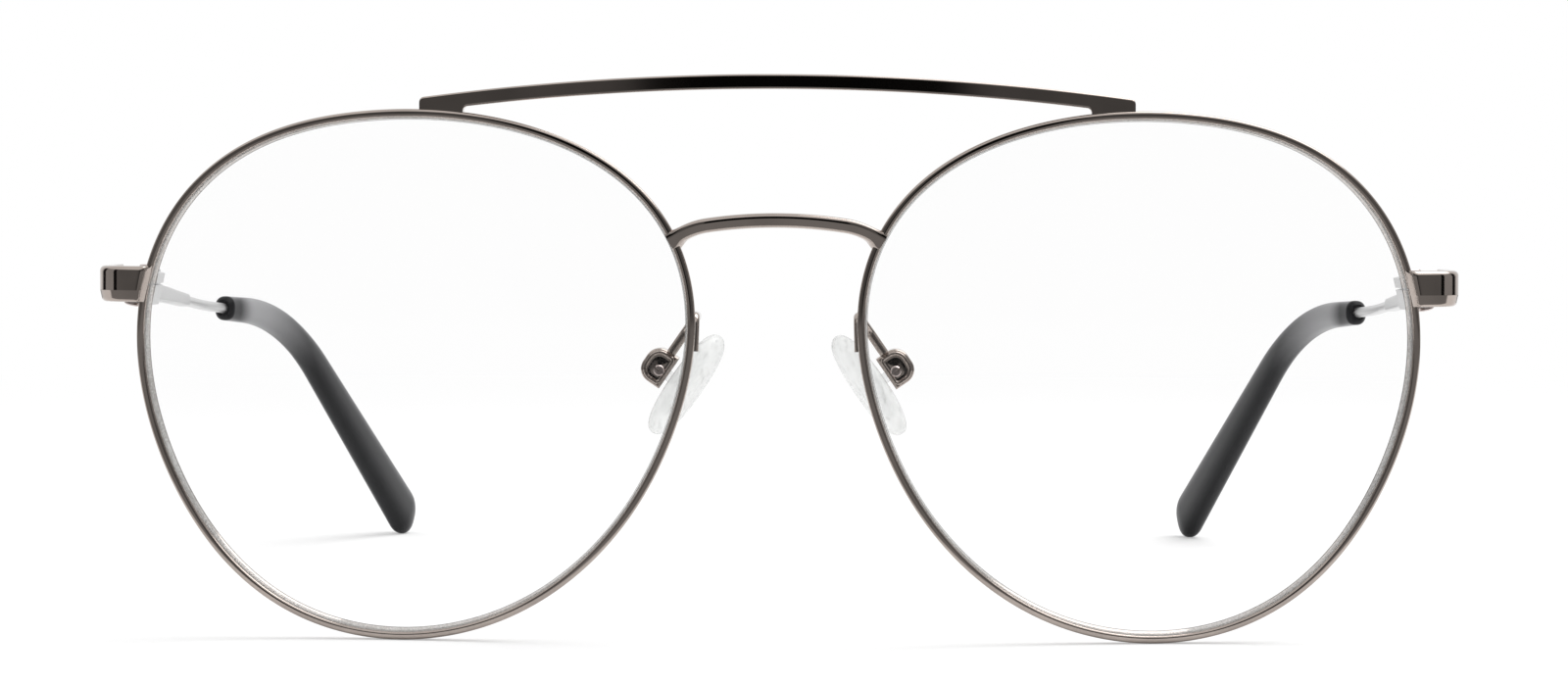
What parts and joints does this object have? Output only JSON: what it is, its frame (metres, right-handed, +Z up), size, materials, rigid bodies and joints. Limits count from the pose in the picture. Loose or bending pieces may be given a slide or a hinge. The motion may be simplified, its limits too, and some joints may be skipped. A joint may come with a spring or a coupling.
{
  "type": "eyeglasses",
  "caption": "Metal eyeglasses with a double bridge: round rims, a bowed brow bar over a nose bridge, clear lenses, adjustable nose pads and folding temples with sleeved tips.",
  "frame": {"origin": "on the ground below the middle of the standing glasses, rims and temple tips touching Z = 0", "axes": "+Z up, -Y is where the lenses face, +Y runs back along the temples, +X is the wearer's left"},
  "size_m": [0.135, 0.136, 0.0561],
  "materials": {
    "gunmetal": "polished",
    "screw_steel": "polished",
    "clear_lens": "gloss",
    "black_acetate": "satin",
    "clear_silicone": "satin",
    "clear_core": "gloss"
  },
  "bodies": {
    "front": {"right_rim": "gunmetal", "right_end_piece": "gunmetal", "right_rim_lock_upper": "gunmetal", "right_rim_lock_lower": "gunmetal", "right_front_hinge": "gunmetal", "right_pad_arm": "gunmetal", "right_pad_box": "gunmetal", "right_rim_lock_screw": "screw_steel", "right_hinge_screw": "screw_steel", "right_pad_screw": "screw_steel", "right_lens": "clear_lens", "left_rim": "gunmetal", "left_end_piece": "gunmetal", "left_rim_lock_upper": "gunmetal", "left_rim_lock_lower": "gunmetal", "left_front_hinge": "gunmetal", "left_pad_arm": "gunmetal", "left_pad_box": "gunmetal", "left_rim_lock_screw": "screw_steel", "left_hinge_screw": "screw_steel", "left_pad_screw": "screw_steel", "left_lens": "clear_lens", "brow_bar": "gunmetal", "nose_bridge": "gunmetal"},
    "right_temple": {"right_temple_hinge": "gunmetal", "right_temple": "gunmetal", "right_temple_tip": "black_acetate"},
    "left_temple": {"left_temple_hinge": "gunmetal", "left_temple": "gunmetal", "left_temple_tip": "black_acetate"},
    "right_pad": {"right_nose_pad": "clear_silicone", "right_pad_core": "clear_core"},
    "left_pad": {"left_nose_pad": "clear_silicone", "left_pad_core": "clear_core"}
  },
  "joints": [
    {"name": "right_temple_fold", "type": "hinge", "parent": "front", "child": "right_temple", "pos_m": [-0.06356, -0.05418, 0.03525], "axis": [0, -0.0724, -0.9974], "range_deg": [0, 82]},
    {"name": "left_temple_fold", "type": "hinge", "parent": "front", "child": "left_temple", "pos_m": [0.06356, -0.05418, 0.03525], "axis": [0, 0.0724, 0.9974], "range_deg": [0, 76]},
    {"name": "right_pad_rock", "type": "hinge", "parent": "front", "child": "right_pad", "pos_m": [-0.0118, -0.05742, 0.02675], "axis": [0, 1, 0], "range_deg": [-8, 8]},
    {"name": "left_pad_rock", "type": "hinge", "parent": "front", "child": "left_pad", "pos_m": [0.0118, -0.05742, 0.02675], "axis": [0, 1, 0], "range_deg": [-8, 8]}
  ]
}
